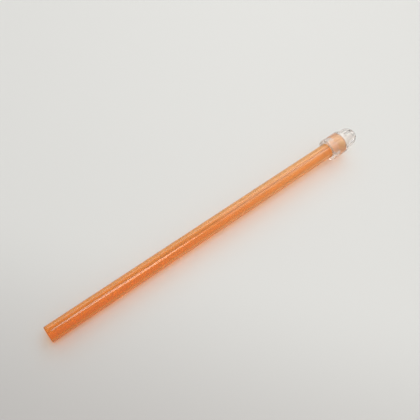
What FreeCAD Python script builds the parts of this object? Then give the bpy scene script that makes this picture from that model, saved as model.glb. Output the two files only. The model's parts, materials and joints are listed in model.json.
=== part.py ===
import FreeCAD, Part
import math
import os

import Sketcher
from FreeCAD import Placement, Rotation, Vector

# Disposable dental saliva ejector: a transparent PVC tube with a memory wire in its wall and a soft
# slotted cap on its front end. Millimetres. The origin is the centre of the tube's rear cut end,
# +X runs along the tube to the tip and +Z is up from the surface that the ejector lies on.
#
# The tube bends anywhere and the wire keeps the bend. Here it bends along one zone behind the tip:
# the tube is cut there into short rigid lengths. Each length ends in a ball-shaped rim that sits in
# the hollow rim of the next, both centred on the pivot between them, so the lengths turn on each
# other about Z without opening the wall. The hollow rim's outer edge is blunt, not feathered.

BEND_COUNT = 10
SLOT_COUNT = 6
ORIGIN_POINT = (-1, 1)
X_AXIS = -1

DIMENSIONS = {
    # the extruded tube
    "tube_outer_radius": 3.25,
    "tube_bore_radius": 2.25,
    "tube_length": 142.0,
    # the pivots along it
    "first_bend": 60.0,
    "bend_pitch": 5.5,
    "ball_radius": 3.5,
    "socket_radius": 3.56,
    "socket_lip": 0.2,
    # the memory wire and the channel that it fills
    "wire_radius": 0.2,
    "channel_radius": 0.22,
    "wire_height": 2.735,
    "wire_side": -0.29,
    "wire_past_ball": 1.7,
    "wire_past_socket": 2.65,
    # the tip cap, measured forward from its rear rim
    "cap_rim": 134.2,
    "collar_radius": 4.8,
    "collar_length": 9.0,
    "cap_bore_radius": 3.28,
    "cap_seat": 7.9,
    "cavity_radius": 3.0,
    "head_centre": 11.7,
    "head_radius": 4.1,
    "rim_round": 0.5,
    "shoulder_round": 0.45,
    "neck_round": 0.2,
    # the slots in the cap's head
    "slot_start": 9.9,
    "slot_length": 5.0,
    "slot_width": 1.3,
    "slot_reach": 6.0,
}


def make_sheet(doc):
    """The spreadsheet that drives every size."""
    sheet = doc.addObject("Spreadsheet::Sheet", "Dims")
    for row, (alias, value) in enumerate(DIMENSIONS.items(), start=1):
        sheet.set(f"A{row}", alias)
        sheet.set(f"B{row}", str(value))
        sheet.setAlias(f"B{row}", alias)
    doc.recompute()
    return sheet


def make_body(doc, label):
    body = doc.addObject("PartDesign::Body", label)
    body.Label = label
    return body


def make_sketch(body, name, plane_role):
    """A sketch on one of the body's own origin planes."""
    sketch = body.newObject("Sketcher::SketchObject", name)
    plane = next(f for f in body.Origin.OriginFeatures if f.Role == plane_role)
    sketch.AttachmentSupport = [(plane, "")]
    sketch.MapMode = "FlatFace"
    return sketch


def add_line(sketch, start, end):
    return sketch.addGeometry(Part.LineSegment(Vector(*start, 0), Vector(*end, 0)), False)


def add_arc(sketch, centre_x, radius, start_angle, end_angle):
    """An arc about a point on the X axis, counter-clockwise between two angles in radians."""
    circle = Part.Circle(Vector(centre_x, 0, 0), Vector(0, 0, 1), radius)
    return sketch.addGeometry(Part.ArcOfCircle(circle, start_angle, end_angle), False)


def drive(sketch, kind, where, value, name, expression):
    """Adds a named dimension to the sketch and binds it to the spreadsheet."""
    index = sketch.addConstraint(Sketcher.Constraint(kind, *where, value))
    sketch.renameConstraint(index, name)
    sketch.setExpression(f"Constraints.{name}", expression)


def close_loop(sketch, corners):
    """Joins each pair of (geometry, end) points."""
    for first, second in corners:
        sketch.addConstraint(Sketcher.Constraint("Coincident", *first, *second))


def revolve(body, sketch):
    """Turns a profile drawn above the X axis all the way round it."""
    sketch.Visibility = False
    feature = body.newObject("PartDesign::Revolution", "Revolution")
    feature.Profile = sketch
    feature.ReferenceAxis = (sketch, ["H_Axis"])
    feature.Angle = 360
    return feature


def tube_profile(sketch, dims, rear_is_socket, front_is_ball, length, length_expression):
    """The tube wall between two pivots, or between a pivot and a square-cut end."""
    outer = dims["tube_outer_radius"]
    bore = dims["tube_bore_radius"]
    ball = dims["ball_radius"]
    socket = dims["socket_radius"]
    lip = outer - dims["socket_lip"]
    rear_outer, rear_bore = (0.0, outer), (0.0, bore)
    front_outer, front_bore = (length, outer), (length, bore)
    if rear_is_socket:
        rear_outer = (math.sqrt(socket**2 - lip**2), outer)
        rear_bore = (math.sqrt(socket**2 - bore**2), bore)
    if front_is_ball:
        front_outer = (length + math.sqrt(ball**2 - outer**2), outer)
        front_bore = (length + math.sqrt(ball**2 - bore**2), bore)

    outer_line = add_line(sketch, rear_outer, front_outer)
    bore_line = add_line(sketch, rear_bore, front_bore)
    sketch.addConstraint(Sketcher.Constraint("Horizontal", outer_line))
    sketch.addConstraint(Sketcher.Constraint("Horizontal", bore_line))
    drive(sketch, "DistanceY", (*ORIGIN_POINT, outer_line, 1), outer,
          "outer_radius", "Dims.tube_outer_radius")
    drive(sketch, "DistanceY", (*ORIGIN_POINT, bore_line, 1), bore,
          "bore_radius", "Dims.tube_bore_radius")

    if rear_is_socket:
        rear = add_arc(sketch, 0, socket, math.asin(bore / socket), math.asin(lip / socket))
        blunt = add_line(sketch, (rear_outer[0], lip), rear_outer)
        close_loop(sketch, [((rear, 1), (bore_line, 1)), ((rear, 2), (blunt, 1))])
        close_loop(sketch, [((blunt, 2), (outer_line, 1)), ((rear, 3), ORIGIN_POINT)])
        sketch.addConstraint(Sketcher.Constraint("Vertical", blunt))
        drive(sketch, "DistanceY", (blunt, 1, blunt, 2), dims["socket_lip"],
              "socket_lip", "Dims.socket_lip")
        drive(sketch, "Radius", (rear,), socket, "socket_radius", "Dims.socket_radius")
    else:
        rear = add_line(sketch, rear_bore, rear_outer)
        close_loop(sketch, [((rear, 1), (bore_line, 1)), ((rear, 2), (outer_line, 1))])
        sketch.addConstraint(Sketcher.Constraint("PointOnObject", rear, 1, -2))
        sketch.addConstraint(Sketcher.Constraint("PointOnObject", rear, 2, -2))

    if front_is_ball:
        front = add_arc(sketch, length, ball, math.asin(bore / ball), math.asin(outer / ball))
        close_loop(sketch, [((front, 1), (bore_line, 2)), ((front, 2), (outer_line, 2))])
        sketch.addConstraint(Sketcher.Constraint("PointOnObject", front, 3, X_AXIS))
        drive(sketch, "Radius", (front,), ball, "ball_radius", "Dims.ball_radius")
        drive(sketch, "DistanceX", (*ORIGIN_POINT, front, 3), length, "reach", length_expression)
    else:
        front = add_line(sketch, front_bore, front_outer)
        close_loop(sketch, [((front, 1), (bore_line, 2)), ((front, 2), (outer_line, 2))])
        sketch.addConstraint(Sketcher.Constraint("Vertical", front))
        drive(sketch, "DistanceX", (*ORIGIN_POINT, front, 1), length, "reach", length_expression)


def cut_wire_channel(body, dims):
    """The round channel in the wall, from end to end, that the memory wire fills."""
    sketch = make_sketch(body, "ChannelSketch", "YZ_Plane")
    centre = Vector(dims["wire_side"], dims["wire_height"], 0)
    circle = Part.Circle(centre, Vector(0, 0, 1), dims["channel_radius"])
    ring = sketch.addGeometry(circle, False)
    drive(sketch, "Radius", (ring,), dims["channel_radius"], "channel_radius", "Dims.channel_radius")
    drive(sketch, "DistanceX", (*ORIGIN_POINT, ring, 3), dims["wire_side"],
          "wire_side", "Dims.wire_side")
    drive(sketch, "DistanceY", (*ORIGIN_POINT, ring, 3), dims["wire_height"],
          "wire_height", "Dims.wire_height")
    sketch.Visibility = False
    pocket = body.newObject("PartDesign::Pocket", "WireChannel")
    pocket.Profile = sketch
    pocket.Type = "ThroughAll"
    pocket.Midplane = True


def make_tube_length(doc, dims, label, rear_is_socket, front_is_ball, length, length_expression,
                     place_expression):
    """One rigid length of the tube, its rear pivot or cut end at its own origin."""
    body = make_body(doc, label)
    sketch = make_sketch(body, "WallSketch", "XZ_Plane")
    tube_profile(sketch, dims, rear_is_socket, front_is_ball, length, length_expression)
    revolve(body, sketch)
    cut_wire_channel(body, dims)
    body.setExpression("Placement.Base.x", place_expression)
    return body


def make_wire_length(doc, label, start_expression, length_expression):
    """One length of the round memory wire, inside the tube wall and close to its top."""
    wire = doc.addObject("Part::Cylinder", label)
    wire.Label = label
    wire.Placement = Placement(Vector(0, 0, 0), Rotation(Vector(0, 1, 0), 90))
    wire.setExpression("Radius", "Dims.wire_radius")
    wire.setExpression("Height", length_expression)
    wire.setExpression("Placement.Base.x", start_expression)
    wire.setExpression("Placement.Base.y", "Dims.wire_side")
    wire.setExpression("Placement.Base.z", "Dims.wire_height")
    return wire


def round_edges(body, feature, x, radius, name, expression):
    """Rounds the circular edge that lies at x with this radius about the X axis."""
    body.Document.recompute()
    close = 0.01
    found = [
        f"Edge{number}"
        for number, edge in enumerate(feature.Shape.Edges, start=1)
        if not edge.Degenerated
        and isinstance(edge.Curve, Part.Circle)
        and abs(edge.Curve.Radius - radius) < close
        and abs(edge.Curve.Center.x - x) < close
    ]
    if not found:
        raise RuntimeError(f"no edge to round for {name}")
    fillet = body.newObject("PartDesign::Fillet", name)
    fillet.Base = (feature, found)
    fillet.setExpression("Radius", expression)
    body.Document.recompute()
    return fillet


def cap_profile(sketch, dims):
    """Collar, seat for the tube's end, neck and hollow domed head, drawn above the X axis."""
    bore = dims["cap_bore_radius"]
    collar = dims["collar_radius"]
    collar_end = dims["collar_length"]
    seat = dims["cap_seat"]
    cavity = dims["cavity_radius"]
    centre = dims["head_centre"]
    head = dims["head_radius"]

    rim = add_line(sketch, (0, bore), (0, collar))
    collar_line = add_line(sketch, (0, collar), (collar_end, collar))
    shoulder = add_line(sketch, (collar_end, collar), (collar_end, head))
    neck = add_line(sketch, (collar_end, head), (centre, head))
    dome = add_arc(sketch, centre, head, 0, math.pi / 2)
    apex = add_line(sketch, (centre + head, 0), (centre + cavity, 0))
    hollow = add_arc(sketch, centre, cavity, 0, math.pi / 2)
    throat = add_line(sketch, (centre, cavity), (seat, cavity))
    ledge = add_line(sketch, (seat, cavity), (seat, bore))
    bore_line = add_line(sketch, (seat, bore), (0, bore))

    close_loop(sketch, [
        ((rim, 2), (collar_line, 1)),
        ((collar_line, 2), (shoulder, 1)),
        ((shoulder, 2), (neck, 1)),
        ((neck, 2), (dome, 2)),
        ((dome, 1), (apex, 1)),
        ((apex, 2), (hollow, 1)),
        ((hollow, 2), (throat, 1)),
        ((throat, 2), (ledge, 1)),
        ((ledge, 2), (bore_line, 1)),
        ((bore_line, 2), (rim, 1)),
        ((hollow, 3), (dome, 3)),
    ])
    for level in (collar_line, neck, throat, bore_line):
        sketch.addConstraint(Sketcher.Constraint("Horizontal", level))
    for upright in (shoulder, ledge):
        sketch.addConstraint(Sketcher.Constraint("Vertical", upright))
    sketch.addConstraint(Sketcher.Constraint("PointOnObject", rim, 1, -2))
    sketch.addConstraint(Sketcher.Constraint("PointOnObject", rim, 2, -2))
    sketch.addConstraint(Sketcher.Constraint("PointOnObject", dome, 3, X_AXIS))
    sketch.addConstraint(Sketcher.Constraint("PointOnObject", dome, 1, X_AXIS))
    sketch.addConstraint(Sketcher.Constraint("PointOnObject", hollow, 1, X_AXIS))
    sketch.addConstraint(Sketcher.Constraint("Vertical", dome, 2, dome, 3))
    sketch.addConstraint(Sketcher.Constraint("Vertical", hollow, 2, hollow, 3))

    drive(sketch, "DistanceY", (*ORIGIN_POINT, rim, 1), bore, "bore", "Dims.cap_bore_radius")
    drive(sketch, "DistanceY", (*ORIGIN_POINT, rim, 2), collar, "collar", "Dims.collar_radius")
    drive(sketch, "DistanceX", (*ORIGIN_POINT, shoulder, 1), collar_end,
          "collar_length", "Dims.collar_length")
    drive(sketch, "DistanceX", (*ORIGIN_POINT, ledge, 1), seat, "seat", "Dims.cap_seat")
    drive(sketch, "DistanceX", (*ORIGIN_POINT, dome, 3), centre, "head_centre", "Dims.head_centre")
    drive(sketch, "Radius", (dome,), head, "head", "Dims.head_radius")
    drive(sketch, "Radius", (hollow,), cavity, "cavity", "Dims.cavity_radius")


def make_tip_cap(doc, dims):
    """The soft cap: a collar that slips over the tube and a hollow head slotted all round."""
    body = make_body(doc, "tip_cap")
    sketch = make_sketch(body, "CapSketch", "XZ_Plane")
    cap_profile(sketch, dims)
    solid = revolve(body, sketch)
    solid = round_edges(body, solid, 0, dims["collar_radius"], "RimRound", "Dims.rim_round")
    solid = round_edges(body, solid, dims["collar_length"], dims["collar_radius"],
                        "ShoulderRound", "Dims.shoulder_round")
    round_edges(body, solid, dims["collar_length"], dims["head_radius"],
                "NeckRound", "Dims.neck_round")

    slot_sketch = make_sketch(body, "SlotSketch", "XY_Plane")
    start, length, half = dims["slot_start"], dims["slot_length"], dims["slot_width"] / 2
    left, right = start + half, start + length - half
    upper = add_line(slot_sketch, (left, half), (right, half))
    lower = add_line(slot_sketch, (right, -half), (left, -half))
    front = add_arc(slot_sketch, right, half, -math.pi / 2, math.pi / 2)
    rear = add_arc(slot_sketch, left, half, math.pi / 2, 3 * math.pi / 2)
    for straight, round_end in (
        ((upper, 2), (front, 2)),
        ((lower, 1), (front, 1)),
        ((upper, 1), (rear, 1)),
        ((lower, 2), (rear, 2)),
    ):
        slot_sketch.addConstraint(Sketcher.Constraint("Tangent", *straight, *round_end))
    slot_sketch.addConstraint(Sketcher.Constraint("PointOnObject", front, 3, X_AXIS))
    slot_sketch.addConstraint(Sketcher.Constraint("PointOnObject", rear, 3, X_AXIS))
    drive(slot_sketch, "Radius", (front,), half, "half_width", "Dims.slot_width / 2")
    drive(slot_sketch, "DistanceX", (*ORIGIN_POINT, rear, 3), left,
          "rear_centre", "Dims.slot_start + Dims.slot_width / 2")
    drive(slot_sketch, "DistanceX", (*ORIGIN_POINT, front, 3), right,
          "front_centre", "Dims.slot_start + Dims.slot_length - Dims.slot_width / 2")
    slot_sketch.Visibility = False
    slot = body.newObject("PartDesign::Pocket", "Slot")
    slot.Profile = slot_sketch
    slot.Reversed = True
    slot.setExpression("Length", "Dims.slot_reach")
    doc.recompute()

    slots = body.newObject("PartDesign::PolarPattern", "Slots")
    slots.Originals = [slot]
    slots.Axis = (sketch, ["H_Axis"])
    slots.Angle = 360
    slots.Occurrences = SLOT_COUNT
    body.Tip = slots
    body.setExpression("Placement.Base.x", "Dims.cap_rim")
    return body


def make_parts(doc, dims):
    pitch = dims["bend_pitch"]
    front_length = dims["tube_length"] - dims["first_bend"] - (BEND_COUNT - 1) * pitch
    last_bend = f"Dims.first_bend + {BEND_COUNT - 1} * Dims.bend_pitch"
    parts = [
        make_tube_length(doc, dims, "tube_rear", False, True, dims["first_bend"],
                         "Dims.first_bend", "0 mm"),
        make_wire_length(doc, "wire_rear", "0 mm", "Dims.first_bend + Dims.wire_past_ball"),
    ]
    for number in range(1, BEND_COUNT):
        place = f"Dims.first_bend + {number - 1} * Dims.bend_pitch"
        parts.append(make_tube_length(doc, dims, f"tube_bend_{number:02d}", True, True, pitch,
                                      "Dims.bend_pitch", place))
        parts.append(make_wire_length(doc, f"wire_bend_{number:02d}",
                                      f"{place} + Dims.wire_past_socket",
                                      "Dims.bend_pitch + Dims.wire_past_ball - Dims.wire_past_socket"))
    parts.append(make_tube_length(doc, dims, "tube_front", True, False, front_length,
                                  f"Dims.tube_length - ({last_bend})", last_bend))
    parts.append(make_wire_length(doc, "wire_front", f"{last_bend} + Dims.wire_past_socket",
                                  f"Dims.tube_length - ({last_bend}) - Dims.wire_past_socket"))
    parts.append(make_tip_cap(doc, dims))
    return parts


def check(doc, parts):
    """Stops on any failed feature, open or empty shape, or part that is not one solid."""
    for item in doc.Objects:
        if "Invalid" in item.State or "Error" in item.State:
            raise RuntimeError(f"{item.Label} failed: {item.State}")
    for part in parts:
        shape = part.Shape
        if shape.isNull() or not shape.isValid() or len(shape.Solids) != 1:
            raise RuntimeError(f"{part.Label} is not one valid solid")


doc = FreeCAD.newDocument("SalivaEjector")
make_sheet(doc)
parts = make_parts(doc, DIMENSIONS)
doc.recompute()
check(doc, parts)
os.makedirs("parts", exist_ok=True)
for part in parts:
    part.Shape.exportStep(f"parts/{part.Label}.step")
    box = part.Shape.BoundBox
    print(f"{part.Label:14s} {part.Shape.Volume:9.3f} mm3  x {box.XMin:.2f} to {box.XMax:.2f}")
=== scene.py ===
import json
import math

import bpy
from mathutils import Matrix, Vector


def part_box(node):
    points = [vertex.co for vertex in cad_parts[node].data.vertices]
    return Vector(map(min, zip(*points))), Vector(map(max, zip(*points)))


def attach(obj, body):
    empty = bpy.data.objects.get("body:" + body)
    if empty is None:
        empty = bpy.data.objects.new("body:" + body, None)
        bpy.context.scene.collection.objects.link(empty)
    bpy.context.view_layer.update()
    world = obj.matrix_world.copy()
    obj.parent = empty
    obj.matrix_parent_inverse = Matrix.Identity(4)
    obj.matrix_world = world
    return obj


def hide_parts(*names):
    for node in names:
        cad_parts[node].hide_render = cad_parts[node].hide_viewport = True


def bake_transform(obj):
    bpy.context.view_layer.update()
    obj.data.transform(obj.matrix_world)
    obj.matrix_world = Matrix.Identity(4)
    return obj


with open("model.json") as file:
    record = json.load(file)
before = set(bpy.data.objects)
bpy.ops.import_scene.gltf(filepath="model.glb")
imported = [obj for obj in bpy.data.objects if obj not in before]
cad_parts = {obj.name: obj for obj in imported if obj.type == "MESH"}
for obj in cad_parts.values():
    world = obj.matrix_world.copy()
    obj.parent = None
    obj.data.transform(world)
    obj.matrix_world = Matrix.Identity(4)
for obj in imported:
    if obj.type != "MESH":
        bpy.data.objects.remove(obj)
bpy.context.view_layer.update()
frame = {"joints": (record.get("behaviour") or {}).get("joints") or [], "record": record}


# --- The tube --------------------------------------------------------------------------------------
# One length of extruded transparent PVC, tinted orange and cut square at both ends by a blade. It
# bends along the stretch behind the tip, so it is made there as one sleeve for each pivot, and each
# sleeve meets the next halfway between two pivots, face to face.

pivots = sorted(joint["pos_m"][0] for joint in frame["joints"] if joint["type"] == "hinge")
half_pitch = (pivots[1] - pivots[0]) / 2
tube_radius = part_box("tube_rear")[1].z
bore_radius = next(m["dims"]["r_mm"] for m in frame["record"]["mounts"] if m["name"] == "lumen") / 1000
tube_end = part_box("tube_front")[1].x

tube_sides = 96
cut_round = 0.00012
straight_step = 0.002
sleeve_rings = 14


def turned(name, outline, sides, centre=(0.0, 0.0)):
    """A closed outline of (x, radius, material slot of the face ahead), turned about a line along X."""
    points, faces, slots = [], [], []
    for x, radius, _ in outline:
        for side in range(sides):
            angle = 2 * math.pi * side / sides
            points.append((x, centre[0] + radius * math.cos(angle), centre[1] + radius * math.sin(angle)))
    for step in range(len(outline)):
        here, ahead = step * sides, (step + 1) % len(outline) * sides
        for side in range(sides):
            beside = (side + 1) % sides
            faces.append((here + side, here + beside, ahead + beside, ahead + side))
            slots.append(outline[step][2])
    mesh = bpy.data.meshes.new(name)
    mesh.from_pydata(points, [], faces)
    mesh.polygons.foreach_set("material_index", slots)
    return finished(name, mesh)


def finished(name, mesh, sharp_angle=math.radians(40)):
    """Links a mesh as a piece, smooth apart from its sharp edges.

    Each vertex keeps its place at rest in the attribute lay, for the materials to read."""
    mesh.update()
    lay = mesh.attributes.new("lay", "FLOAT_VECTOR", "POINT")
    lay.data.foreach_set("vector", [value for vertex in mesh.vertices for value in vertex.co])
    mesh.shade_smooth()
    mesh.set_sharp_from_angle(angle=sharp_angle)
    piece = bpy.data.objects.new(name, mesh)
    bpy.context.scene.collection.objects.link(piece)
    return piece


class Value:
    """An output socket of a material's node. Arithmetic on it adds the Math nodes that work it out."""

    def __init__(self, finish, socket):
        self.finish = finish
        self.socket = socket

    def maths(self, operation, first, second):
        return self.finish.add("ShaderNodeMath", {"operation": operation}, {0: first, 1: second})

    def __add__(self, other):
        return self.maths("ADD", self, other)

    def __sub__(self, other):
        return self.maths("SUBTRACT", self, other)

    def __mul__(self, other):
        return self.maths("MULTIPLY", self, other)

    def __truediv__(self, other):
        return self.maths("DIVIDE", self, other)

    def __rsub__(self, other):
        return self.maths("SUBTRACT", other, self)

    def __rtruediv__(self, other):
        return self.maths("DIVIDE", other, self)

    __radd__ = __add__
    __rmul__ = __mul__


class Finish:
    """A material made of nodes."""

    def __init__(self, name):
        self.material = bpy.data.materials.new(name)
        self.material.use_nodes = True
        self.tree = self.material.node_tree
        self.tree.nodes.clear()

    def add(self, kind, settings=None, inputs=None, output=0):
        """Adds one node: its settings first, then a value or a link for each input named."""
        node = self.tree.nodes.new(kind)
        for setting, value in (settings or {}).items():
            setattr(node, setting, value)
        for name, value in (inputs or {}).items():
            if isinstance(value, Value):
                self.tree.links.new(value.socket, node.inputs[name])
            else:
                node.inputs[name].default_value = value
        return Value(self, node.outputs[output])

    def lay(self, *scales):
        """The place at rest, in metres, times a scale for each axis."""
        place = self.add("ShaderNodeAttribute", {"attribute_name": "lay"}, output="Vector")
        return self.add("ShaderNodeVectorMath", {"operation": "MULTIPLY"}, {0: place, 1: scales})

    def noise(self, place, detail=2.0, roughness=0.5):
        return self.add("ShaderNodeTexNoise", {"noise_dimensions": "3D"},
                        {"Vector": place, "Scale": 1.0, "Detail": detail, "Roughness": roughness})

    def tint(self, share, first, second):
        """A colour between two colours."""
        return self.add("ShaderNodeMix", {"data_type": "RGBA"}, {0: share, 6: first, 7: second}, output=2)

    def bump(self, height, strength, distance):
        return self.add("ShaderNodeBump", {}, {"Height": height, "Strength": strength,
                                               "Distance": distance})

    def show(self, shader):
        output = self.tree.nodes.new("ShaderNodeOutputMaterial")
        self.tree.links.new(shader.socket, output.inputs["Surface"])
        return self.material


def clear_plastic(name, deep, pale, reach, seen_through, ior, clarity, smoothest, roughest):
    """Slightly milky plastic with faint die lines along X, that lets lamps through in its own tint.

    The tint goes from deep to pale over the reach, two places along X; on the orange tube this
    is painted shade towards the rear end and painted light towards the tip."""
    finish = Finish(name)
    along = finish.add("ShaderNodeSeparateXYZ", {}, {0: finish.lay(1, 1, 1)})
    drift = finish.add("ShaderNodeMapRange", {},
                       {"Value": along, "From Min": reach[0], "From Max": reach[1]})
    # Mostly the drift along X (painted shade and light on the orange tube), with a little random cloud.
    tint_share = drift * 0.8 + finish.noise(finish.lay(9.0, 120.0, 120.0), 3.0) * 0.2
    lines = finish.noise(finish.lay(12.0, 2600.0, 2600.0), 2.0)
    grain = finish.noise(finish.lay(4800.0, 4800.0, 4800.0), 3.0, 0.6)
    colour = finish.tint(tint_share, deep, pale)
    roughness = (lines * 0.8 + grain * 0.2) * (roughest - smoothest) + smoothest
    normal = finish.bump(lines * 0.9 + grain * 0.1, 0.1, 0.00001)
    body = finish.add("ShaderNodeBsdfPrincipled", {}, {
        "Base Color": colour, "Roughness": roughness, "IOR": ior,
        "Transmission Weight": clarity, "Normal": normal})
    passed = finish.add("ShaderNodeBsdfTransparent", {}, {"Color": seen_through})
    shadow = finish.add("ShaderNodeLightPath", {}, output="Is Shadow Ray")
    return finish.show(finish.add("ShaderNodeMixShader", {}, {0: shadow, 1: body, 2: passed}))


# The outside carries more of the tint than the bore, so the edges are as deep as the middle.
# Over this reach the orange tint paints shade at the rear end and light towards the tip.
orange_reach = (0.0, 0.11)
orange_body = {"ior": 1.53, "clarity": 0.81, "smoothest": 0.09, "roughest": 0.13}
orange_outside = clear_plastic("orange_outside", (0.91, 0.36, 0.06, 1), (0.93, 0.51, 0.20, 1), orange_reach,
                               (1.0, 0.69, 0.41, 1), **orange_body)
orange_bore = clear_plastic("orange_bore", (0.88, 0.55, 0.12, 1), (0.91, 0.74, 0.40, 1), orange_reach,
                            (1.0, 0.79, 0.54, 1), **orange_body)

# The faces where two sleeves meet are inside the plastic, so light passes them as if they weren't there.
inside = Finish("inside_plastic")
inside_plastic = inside.show(inside.add("ShaderNodeBsdfTransparent"))

OUTSIDE, BORE, MEETING = 0, 1, 2


def spaced(start, end, steps):
    return [start + (end - start) * step / steps for step in range(steps + 1)]


def wall_outline(stations, cut_rear, cut_front):
    """The wall's section: out along the outside, back along the bore, with rounded corners at a cut."""
    rear, front = stations[0], stations[-1]
    soft = cut_round * 0.3
    outside = [(x, tube_radius, OUTSIDE) for x in stations[1:-1]]
    bore = [(x, bore_radius, BORE) for x in reversed(stations[1:-1])]
    if cut_rear:
        rear_out = [(rear, tube_radius - cut_round, OUTSIDE), (rear + soft, tube_radius - soft, OUTSIDE),
                    (rear + cut_round, tube_radius, OUTSIDE)]
        rear_in = [(rear + cut_round, bore_radius, BORE), (rear + soft, bore_radius + soft, BORE),
                   (rear, bore_radius + cut_round, OUTSIDE)]
    else:
        rear_out, rear_in = [(rear, tube_radius, OUTSIDE)], [(rear, bore_radius, MEETING)]
    if cut_front:
        front_out = [(front - cut_round, tube_radius, OUTSIDE), (front - soft, tube_radius - soft, OUTSIDE),
                     (front, tube_radius - cut_round, OUTSIDE)]
        front_in = [(front, bore_radius + cut_round, BORE), (front - soft, bore_radius + soft, BORE),
                    (front - cut_round, bore_radius, BORE)]
    else:
        front_out, front_in = [(front, tube_radius, MEETING)], [(front, bore_radius, BORE)]
    return rear_out + outside + front_out + front_in + bore + rear_in


def make_wall(name, stations, cut_rear=False, cut_front=False):
    piece = turned(name, wall_outline(stations, cut_rear, cut_front), tube_sides)
    for material in (orange_outside, orange_bore, inside_plastic):
        piece.data.materials.append(material)
    return piece


first_meeting = pivots[0] - half_pitch
last_meeting = pivots[-1] + half_pitch

tube_rear_wall = make_wall("tube_wall_rear", spaced(0.0, first_meeting, round(first_meeting / straight_step)),
                           cut_rear=True)
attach(tube_rear_wall, "rear")
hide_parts("tube_rear")

for number, pivot in enumerate(pivots, start=1):
    start, end = pivot - half_pitch, pivot + half_pitch
    sleeve = make_wall(f"tube_wall_{number:02d}", spaced(start, end, sleeve_rings))
    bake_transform(sleeve)
    if number < len(pivots):
        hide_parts(f"tube_bend_{number:02d}")

tube_front_wall = make_wall("tube_wall_front", spaced(last_meeting, tube_end,
                                                      round((tube_end - last_meeting) / straight_step)),
                            cut_front=True)
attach(tube_front_wall, "front")
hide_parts("tube_front")


# --- The memory wire -------------------------------------------------------------------------------
# Soft steel wire with a thin copper plating, drawn and then buried in the tube's wall as it is
# extruded. It keeps whatever bend the hand gives the tube. It is cut flush with the tube's ends.

wire_low, wire_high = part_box("wire_rear")
wire_radius = (wire_high.z - wire_low.z) / 2
wire_centre = ((wire_low.y + wire_high.y) / 2, (wire_low.z + wire_high.z) / 2)
wire_sides = 20


def drawn_wire():
    """Copper plating with fine drawing lines and duller patches."""
    finish = Finish("drawn_wire")
    lines = finish.noise(finish.lay(60.0, 9000.0, 9000.0), 2.0)
    patches = finish.noise(finish.lay(400.0, 900.0, 900.0), 3.0)
    colour = finish.tint(patches, (0.66, 0.42, 0.25, 1), (0.52, 0.34, 0.20, 1))
    roughness = lines * 0.2 + patches * 0.15 + 0.18
    metal = finish.add("ShaderNodeBsdfPrincipled", {}, {
        "Base Color": colour, "Metallic": 1.0, "Roughness": roughness,
        "Normal": finish.bump(lines, 0.2, 0.00001)})
    return finish.show(metal)


wire_finish = drawn_wire()


def make_wire(name, stations):
    tip = wire_radius * 0.3
    outline = [(stations[0], tip, 0)] + [(x, wire_radius, 0) for x in stations] + [(stations[-1], tip, 0)]
    piece = turned(name, outline, wire_sides, wire_centre)
    piece.data.materials.append(wire_finish)
    return piece


wire_rear = make_wire("memory_wire_rear", spaced(0.0, first_meeting, 24))
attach(wire_rear, "rear")
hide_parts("wire_rear")

for number, pivot in enumerate(pivots, start=1):
    start, end = pivot - half_pitch, pivot + half_pitch
    length = make_wire(f"memory_wire_{number:02d}", spaced(start, end, sleeve_rings))
    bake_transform(length)
    if number < len(pivots):
        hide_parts(f"wire_bend_{number:02d}")

wire_front = make_wire("memory_wire_front", spaced(last_meeting, tube_end, 12))
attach(wire_front, "front")
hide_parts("wire_front")


# --- The tip cap -----------------------------------------------------------------------------------
# A soft cap moulded in clear PVC. Its collar is pushed over the tube's end as far as a ledge, and it
# grips the tube all but its first few millimetres. Its hollow head is a cage of six ribs that meet at
# a smooth dome, so that it can't suck on tissue.

cap_low, cap_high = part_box("tip_cap")
cap_rim = cap_low.x
collar_radius = min(cap_high.y, cap_high.z) - 0.000006
collar_bore = tube_radius - 0.00001
rear_slack = 0.00005
grip_start = cap_rim + 0.0036
seat = cap_rim + 0.0079
shoulder = cap_rim + 0.0090
rim_round = 0.0005
shoulder_round = 0.00045
neck_round = 0.0002
head_radius = 0.0041
cavity_radius = 0.0030
head_centre = cap_high.x - head_radius
slot_start = cap_rim + 0.0099
slot_half_width = 0.00065
slot_rise = 51
slot_dome_rows = 4
slot_count = 6
slot_columns = 2
rib_columns = 6


def arc(x, radius, size, start, end, steps):
    """Points (x, radius) round a quarter of a circle, from one angle to another in degrees."""
    angles = [math.radians(start + (end - start) * step / steps) for step in range(steps + 1)]
    return [(x + size * math.cos(angle), radius + size * math.sin(angle)) for angle in angles]


def shell_rows():
    """Each row is a ring on the outside and its partner on the inside, from the rear rim to the dome."""
    rows = list(zip(arc(cap_rim + rim_round, collar_radius - rim_round, rim_round, 180, 90, 3),
                    [(cap_rim + x, collar_bore + r) for x, r in
                     ((0, 0.00018), (0.00004, 0.00009), (0.00015, rear_slack), (0.0005, rear_slack))]))
    rows += [((x, collar_radius), (x, collar_bore + r)) for x, r in
             ((cap_rim + 0.0018, rear_slack), (grip_start - 0.0006, rear_slack * 0.8),
              (grip_start, 0), (seat - 0.0015, 0))]
    rows += zip(arc(shoulder - shoulder_round, collar_radius - shoulder_round, shoulder_round, 90, 0, 3),
                [(seat - 0.0006, collar_bore), (seat - 0.00015, collar_bore),
                 (seat, collar_bore - 0.0001), (seat, cavity_radius + 0.00003)])
    rows += zip(arc(shoulder + neck_round, head_radius + neck_round, neck_round, 180, 270, 3),
                [(seat + x, cavity_radius) for x in (0.0002, 0.0006, 0.001, 0.0014)])
    first_slot_row = len(rows)
    rows += [((x, head_radius), (x, cavity_radius)) for x in spaced(slot_start, head_centre, 3)]
    last_slot_row = len(rows) + slot_dome_rows - 1
    rises = [slot_rise * step / slot_dome_rows for step in range(1, slot_dome_rows + 1)]
    for rise in rises + [slot_rise + further for further in (8, 17, 26, 34)]:
        angle = math.radians(rise)
        rows.append(tuple((head_centre + radius * math.sin(angle), radius * math.cos(angle))
                          for radius in (head_radius, cavity_radius)))
    return rows, first_slot_row, last_slot_row


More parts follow.
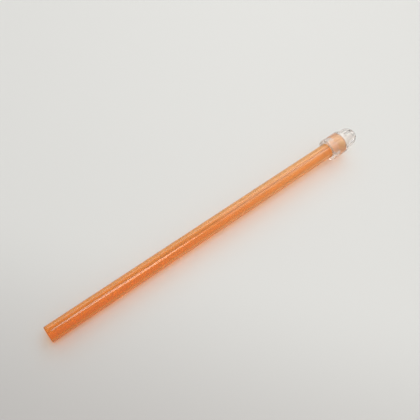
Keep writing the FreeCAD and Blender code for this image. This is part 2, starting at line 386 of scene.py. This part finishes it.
def column_angles(radius):
    """Where the columns stand round one ring: two to a slot and the rest to a rib."""
    edge = math.asin(min(0.34, slot_half_width / radius))
    sector = 2 * math.pi / slot_count
    angles = []
    for number in range(slot_count):
        middle = number * sector
        angles += [middle - edge, middle]
        angles += [middle + edge + (sector - 2 * edge) * step / rib_columns for step in range(rib_columns)]
    return angles


def make_cage():
    """The shell as two grids, with walls round each slot and a fan of faces at each apex."""
    rows, first_slot_row, last_slot_row = shell_rows()
    around = slot_columns + rib_columns
    columns = slot_count * around
    swell = 3 / (2 + math.cos(2 * math.pi / columns))
    points = []
    for pair in rows:
        for x, radius in pair:
            points += [(x, swell * radius * math.sin(angle), swell * radius * math.cos(angle))
                       for angle in column_angles(radius)]
    apexes = (len(points), len(points) + 1)
    points += [(head_centre + head_radius, 0, 0), (head_centre + cavity_radius, 0, 0)]

    def at(row, side, column):
        return (row * 2 + side) * columns + column % columns

    def in_slot(row, column):
        return first_slot_row <= row < last_slot_row and column % around < slot_columns

    faces = []
    for column in range(columns):
        faces.append((at(0, 0, column), at(0, 0, column + 1), at(0, 1, column + 1), at(0, 1, column)))
        for side, apex in enumerate(apexes):
            fan = (at(len(rows) - 1, side, column), at(len(rows) - 1, side, column + 1), apex)
            faces.append(fan if side else fan[::-1])
        for row in range(len(rows) - 1):
            a, b, c, d = [at(row + up, 0, column + beside) for up, beside in ((0, 0), (1, 0), (1, 1), (0, 1))]
            e, f, g, h = [at(row + up, 1, column + beside) for up, beside in ((0, 0), (1, 0), (1, 1), (0, 1))]
            if not in_slot(row, column):
                faces += [(a, b, c, d), (e, h, g, f)]
                continue
            if not in_slot(row - 1, column):
                faces.append((a, d, h, e))
            if not in_slot(row + 1, column):
                faces.append((c, b, f, g))
            if not in_slot(row, column - 1):
                faces.append((b, a, e, f))
            if not in_slot(row, column + 1):
                faces.append((d, c, g, h))
    mesh = bpy.data.meshes.new("cage")
    mesh.from_pydata(points, [], faces)
    mesh.update()
    return mesh


def keep_edges(mesh, sharper_than, hold):
    """Makes the edges between two steep faces hold their place when the cage is rounded."""
    normals = {}
    for face in mesh.polygons:
        for key in face.edge_keys:
            normals.setdefault(key, []).append(face.normal)
    crease = mesh.attributes.new("crease_edge", "FLOAT", "EDGE")
    for edge in mesh.edges:
        first, second = normals[edge.key]
        if first.angle(second) > sharper_than:
            crease.data[edge.index].value = hold


def make_cap():
    mesh = make_cage()
    keep_edges(mesh, math.radians(50), 0.6)
    cage = bpy.data.objects.new("cage", mesh)
    bpy.context.scene.collection.objects.link(cage)
    soften = cage.modifiers.new("soften", "SUBSURF")
    soften.levels = soften.render_levels = 2
    shape = bpy.data.meshes.new_from_object(cage.evaluated_get(bpy.context.evaluated_depsgraph_get()))
    bpy.data.objects.remove(cage)
    shape.name = "tip_cap_shell"
    return finished("tip_cap_shell", shape, math.radians(180))


cap = make_cap()
clear_pvc = clear_plastic("clear_pvc", (0.93, 0.89, 0.86, 1), (0.95, 0.92, 0.90, 1), (cap_rim, cap_high.x),
                          (0.95, 0.93, 0.91, 1), 1.45, 0.92, 0.2, 0.3)
cap.data.materials.append(clear_pvc)
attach(cap, "cap")
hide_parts("tip_cap")


# --- The table -------------------------------------------------------------------------------------
# A plain pale surface, with painted shade that makes it a little darker on the side where the
# ejector's rear end points. The ejector lies on it on the bottom of its cut rear end and on its collar.

contact_rear = Vector((0.0, 0.0, -tube_radius))
contact_front = Vector((cap_rim + rim_round, 0.0, -collar_radius))
table_size = 3.0
painted_shade_way = (-0.79, -0.61, 0.0)
painted_shade_reach = (-0.045, 0.04)


def make_table():
    along = (contact_front - contact_rear).normalized()
    across = Vector((0, 1, 0))
    half = table_size / 2
    corners = [contact_rear + along * (a * half) + across * (b * half)
               for a, b in ((-1, -1), (1, -1), (1, 1), (-1, 1))]
    mesh = bpy.data.meshes.new("table")
    mesh.from_pydata([corner[:] for corner in corners], [], [(0, 1, 2, 3)])
    return finished("table", mesh)


def matt_laminate():
    finish = Finish("matt_laminate")
    tint_share = finish.noise(finish.lay(6.0, 6.0, 6.0), 3.0)
    along = finish.add("ShaderNodeVectorMath", {"operation": "DOT_PRODUCT"},
                       {0: finish.lay(1, 1, 1), 1: painted_shade_way}, output="Value")
    shade = finish.add("ShaderNodeMapRange", {"interpolation_type": "SMOOTHSTEP"},
                       {"Value": along, "From Min": painted_shade_reach[0], "From Max": painted_shade_reach[1]})
    pale = finish.tint(tint_share, (0.66, 0.655, 0.64, 1), (0.68, 0.675, 0.66, 1))
    # The darker colour is painted shade, deepest on the side the ejector's rear end points to.
    colour = finish.tint(shade, pale, (0.495, 0.478, 0.466, 1))
    board = finish.add("ShaderNodeBsdfPrincipled", {}, {"Base Color": colour, "Roughness": tint_share * 0.1 + 0.5})
    return finish.show(board)


table = make_table()
table.data.materials.append(matt_laminate())


# --- Light and camera ------------------------------------------------------------------------------
# Soft daylight from all round, a broad panel overhead beyond the tip, a window to one side, and two
# ceiling strips that draw the fine bright lines along the tube.

scene = bpy.context.scene
scene.view_settings.view_transform = "Standard"


def area_light(name, place, target, size, power, colour):
    data = bpy.data.lights.new(name, "AREA")
    data.shape = "RECTANGLE"
    data.size, data.size_y = size
    data.energy = power
    data.color = colour
    lamp = bpy.data.objects.new(name, data)
    lamp.location = place
    lamp.rotation_euler = (Vector(target) - Vector(place)).to_track_quat("-Z", "Y").to_euler()
    scene.collection.objects.link(lamp)
    return lamp


def strip_light(name, start, end, width, radiance):
    """A long flat lamp from start to end, facing down."""
    middle = (Vector(start) + Vector(end)) / 2
    run = Vector(end) - Vector(start)
    lamp = area_light(name, middle, middle - Vector((0, 0, 1)), (run.length, width),
                      radiance * math.pi * run.length * width, (1.0, 0.98, 0.95))
    lamp.rotation_euler = (0, 0, math.atan2(run.y, run.x))


area_light("front_panel", (0.60, 0.17, 0.7), (0.60, 0.17, 0.0), (0.55, 1.2), 2.7, (1.0, 1.0, 0.98))
area_light("window", (0.37, 0.80, 0.62), (0.07, 0.0, 0.0), (1.3, 0.5), 3.0, (1.0, 1.0, 0.99))
strip_light("rear_strip", (-0.02, 0.066, 0.5), (0.19, -0.245, 0.5), 0.12, 4.6)
strip_light("front_strip", (0.37, 0.17, 0.5), (0.47, -0.13, 0.5), 0.04, 3.0)

world = bpy.data.worlds.new("daylight")
world.use_nodes = True
world.node_tree.nodes["Background"].inputs["Color"].default_value = (0.98, 0.99, 0.98, 1)
world.node_tree.nodes["Background"].inputs["Strength"].default_value = 0.53
scene.world = world

camera_data = bpy.data.cameras.new("camera")
camera_data.lens = 44.7
camera_data.sensor_width = 36
camera_data.clip_start = 0.005
camera = bpy.data.objects.new("camera", camera_data)
right = Vector((0.796, -0.605, 0.0))
up = Vector((0.516, 0.679, 0.522))
ahead = Vector((0.316, 0.4155, -0.853))
turn = Matrix((right, up, -ahead)).transposed().to_quaternion()
camera.matrix_world = Matrix.Translation((0.010, -0.0803, 0.1783)) @ turn.to_matrix().to_4x4()
scene.collection.objects.link(camera)
scene.camera = camera
